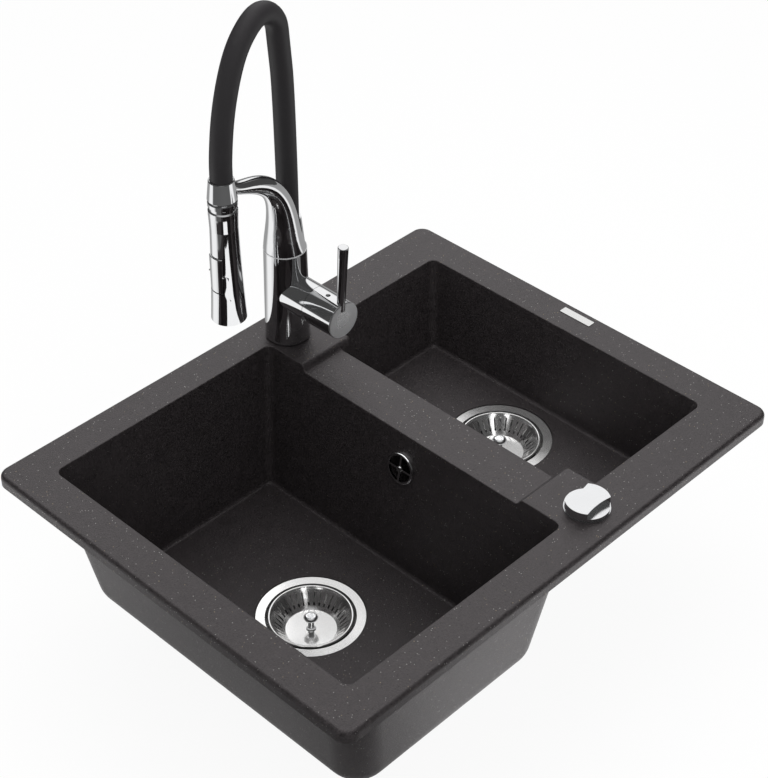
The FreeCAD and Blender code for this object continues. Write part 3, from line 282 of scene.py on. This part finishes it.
# Strainer wastes. Each is a pressed stainless flange and cup, a slotted basket with a rolled rim and a
# turned knob, clamped through the floor by a moulded body, a rubber ring and one hollow screw.
steel = (0.70, 0.70, 0.70, 1.0)
satin_steel = (0.93, 0.925, 0.92, 1.0)
strip_height = 0.36
strip_power = 0.14
for bowl, along, bowl_floor in (("big", -0.1135, -0.148), ("small", 0.168, -0.085)):
    dress(metal(bowl + "_flange_steel", satin_steel, 0.20, 0.26, bare=0.9),
          bowl + "_waste_flange", bowl + "_waste_screw")
    turned_steel = metal(bowl + "_basket_steel", satin_steel, 0.12, 0.20, centre=(along, 0.0, 0.0),
                         ring_scale=120.0, ring_depth=0.00001, bare=0.96)
    dress(turned_steel, bowl + "_basket")
    for side, left, front in (("left", 0.31, 0.10), ("right", 0.13, 0.30)):
        soft_lamp(bowl + "_basket_lamp_" + side, (along - left, -front, bowl_floor + strip_height),
                  (along, 0.0, bowl_floor), 0.08, 0.30, strip_power, (bowl + "_basket",))
soft_lamp("big_waste_lamp", (-0.040, 0.072, -0.066), (-0.111, 0.002, -0.066), 0.15, 0.104, 0.034,
          ("big_waste_flange", "big_basket", "big_basket_knob"))
soft_lamp("small_waste_lamp", (0.216, 0.047, -0.032), (0.145, -0.023, -0.032), 0.085, 0.058, 0.0070,
          ("small_basket", "small_basket_knob"))
plate = (0.86, 0.865, 0.875, 1.0)
chrome = metal("chrome_plate", plate, 0.03, 0.06)
dress(chrome, "big_basket_knob", "small_basket_knob")
plain_steel = metal("plain_steel", steel, 0.22, 0.32)
dress(plain_steel, "lifter_pin")


def moulded(name, dark, light, low_gloss, high_gloss, grain_scale, depth):
    """Moulded rubber or plastic with a fine surface grain."""
    material, tree, output = new_material(name)
    place = add_node(tree, "TexCoord").outputs["Object"]
    grain = add_node(tree, "TexNoise", Vector=place, Scale=grain_scale, Detail=4.0)
    shade = add_node(tree, "Mix", {"data_type": "RGBA"}, Factor=grain.outputs["Fac"], i6=dark, i7=light)
    gloss = add_node(tree, "MapRange", Value=grain.outputs["Fac"], To_Min=low_gloss, To_Max=high_gloss)
    bump = add_node(tree, "Bump", Height=grain.outputs["Fac"], Strength=0.3, Distance=depth)
    surface = add_node(tree, "BsdfPrincipled", Base_Color=shade.outputs["Result"],
                       Roughness=gloss.outputs["Result"], Normal=bump.outputs["Normal"])
    tree.links.new(surface.outputs[0], output.inputs["Surface"])
    return material


rubber = moulded("black_rubber", (0.008, 0.008, 0.008, 1.0), (0.02, 0.02, 0.02, 1.0), 0.6, 0.8, 500.0, 0.0002)
black_plastic = moulded("black_plastic", (0.012, 0.012, 0.013, 1.0), (0.022, 0.022, 0.023, 1.0), 0.4, 0.55,
                        700.0, 0.0001)
dress(rubber, "big_plug_seal", "small_plug_seal", "big_waste_gasket", "small_waste_gasket")
dress(black_plastic, "big_waste_body", "small_waste_body", "big_waste_tail", "small_waste_tail")

# Overflow. A chromed cover with four windows lies on the big bowl's divider wall. One screw through its
# middle draws it towards a moulded elbow behind the wall, over a rubber ring.
overflow_middle = (0.016, 0.0, -0.034)
dress(metal("satin_cover", plate, 0.10, 0.14), "overflow_rosette")
soft_lamp("cover_lamp", (-0.07, 0.05, 0.11), overflow_middle, 0.24, 0.20, 0.18, ("overflow_rosette",))
dress(rubber, "overflow_gasket")
dress(plain_steel, "overflow_screw")
dress(black_plastic, "overflow_elbow")

# Pop-up control. A satin chromed knob with a finger hollow turns on a thin polished ring. A moulded
# housing below the rim holds its spindle, and a moulded nut clamps it to the rim.
dress(metal("satin_chrome", plate, 0.16, 0.24), "popup_knob")
dress(chrome, "popup_bezel")
dress(black_plastic, "popup_spindle", "popup_housing", "popup_nut")

# Tap. A cast and turned brass body, chromed and polished, stands on a rubber ring. A threaded brass
# shank, two washers and a nut hold it from below; a ceramic cartridge sits in its side boss.
dress(chrome, "tap_body")
dress(metal("bright_ring", plate, 0.2, 0.26, bare=0.35), "swivel_ring")
brass = metal("machined_brass", (0.72, 0.55, 0.27, 1.0), 0.22, 0.34, centre=(0.052, 0.2, 0.0),
              ring_scale=300.0, ring_depth=0.00002)
dress(brass, "tap_shank", "tap_nut", "cartridge_nut", "cartridge_stem")
ceramic = moulded("fired_ceramic", (0.74, 0.73, 0.70, 1.0), (0.80, 0.79, 0.76, 1.0), 0.25, 0.35, 300.0, 0.0001)
dress(ceramic, "cartridge")
dress(black_plastic, "cartridge_rotor")
dress(rubber, "tap_gasket", "tap_rubber_washer")
dress(plain_steel, "tap_steel_washer", "stem_pin")

# Lever. A turned and chromed cap with a dished, brushed face fits on the cartridge's stem, where a grub
# screw holds it. A thin polished rod stands in it as the handle.
cap_axis = (0.052, 0.0, 0.0715)
face_at = 0.1168
side_from = 0.1180
cap, tree, output = new_material("dished_cap")
place = add_node(tree, "TexCoord").outputs["Object"]
depth = add_node(tree, "SeparateXYZ", Vector=place).outputs["Y"]
gloss = add_node(tree, "MapRange", Value=depth, From_Min=face_at, From_Max=side_from, To_Min=0.36, To_Max=0.05)
about = add_node(tree, "Mapping", Vector=place, Location=[-value for value in cap_axis])
rings = add_node(tree, "TexWave", {"wave_type": "RINGS", "rings_direction": "Y"}, Vector=about.outputs[0],
                 Scale=260.0, Distortion=2.0, Detail=3.0)
bump = add_node(tree, "Bump", Height=rings.outputs["Fac"], Strength=0.12, Distance=0.00002)
turned = add_node(tree, "BsdfPrincipled", Base_Color=plate, Metallic=1.0, Roughness=gloss.outputs["Result"],
                  Normal=bump.outputs["Normal"])
tree.links.new(turned.outputs[0], output.inputs["Surface"])
dress(cap, "handle_cap")
dress(chrome, "lever_rod")
dress(plain_steel, "grub_screw")
soft_lamp("cap_lamp", (0.110, 0.040, 0.026), (0.116, 0.034, 1.026), 0.10, 0.13, 0.0060,
          ("tap_body", "handle_cap"))

# Spout. A bent and chromed brass arm turns on the body. It ends in a sleeve that the spray docks in,
# and a ferrule on its back holds the hose.
dress(chrome, "spout_arm", "hose_ferrule", "dock_sleeve")

# Hose. A thick dark grey silicone hose, kept in a high arch by a spring inside it. One end is pressed
# into the ferrule on the spout's back and the other is screwed to the spray head.
tap_axis = Vector((0.052, 0.2, 0.012))
arm_turn = Matrix.Rotation(math.radians(4.0), 3, "Z")
hose_radius = 0.0112
hose_route = [
    (0.0190, 0.0120, 0.1287),
    (0.0190, 0.0120, 0.2760),
    (0.0119, 0.0105, 0.3375),
    (0.0097, 0.0100, 0.3585),
    (-0.0044, 0.0085, 0.3743),
    (-0.0235, 0.0065, 0.3772),
    (-0.0480, 0.0040, 0.3605),
    (-0.0640, 0.0020, 0.3357),
    (-0.0775, 0.0005, 0.2975),
    (-0.0840, 0.0000, 0.2550),
    (-0.0846, 0.0000, 0.2320),
    (-0.0846, 0.0000, 0.2022),
]
curve = bpy.data.curves.new("hose_line", "CURVE")
curve.dimensions = "3D"
curve.resolution_u = 10
spline = curve.splines.new("NURBS")
spline.points.add(len(hose_route) - 1)
for point, step in zip(spline.points, hose_route):
    point.co = (*(tap_axis + arm_turn @ Vector(step)), 1.0)
spline.order_u = 3
spline.use_endpoint_u = True
line_object = bpy.data.objects.new("hose_line", curve)
scene.collection.objects.link(line_object)
bpy.context.view_layer.update()
line_mesh = bpy.data.meshes.new_from_object(line_object)
curve.bevel_depth = hose_radius
curve.bevel_resolution = 10
curve.use_fill_caps = True
bpy.context.view_layer.update()
depsgraph = bpy.context.evaluated_depsgraph_get()
hose_mesh = bpy.data.meshes.new_from_object(line_object.evaluated_get(depsgraph))
bpy.data.objects.remove(line_object)
for face in hose_mesh.polygons:
    face.use_smooth = True
hose = bpy.data.objects.new("silicone_hose", hose_mesh)
scene.collection.objects.link(hose)
silicone = moulded("silicone", (0.0240, 0.0222, 0.0240, 1.0), (0.0350, 0.0326, 0.0350, 1.0), 0.45, 0.6,
                   400.0, 0.0002)
hose_mesh.materials.clear()
hose_mesh.materials.append(silicone)
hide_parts("spout_hose")
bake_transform(hose)

# Spray head. A flared moulded shell, chromed and polished, hangs under a grooved nut. A rocker button
# is pinned in its side, and a black moulded nozzle plate closes its lower end.
dress(chrome, "hose_nut", "spray_head", "spray_rocker")
dress(black_plastic, "spray_face")
dress(plain_steel, "rocker_pin")
soft_lamp("spray_lamp", (-0.098, 0.060, 0.030), (-0.104, 0.052, 1.030), 0.12, 0.20, 0.0754,
          ("dock_sleeve", "hose_nut", "spray_head", "spray_rocker"))
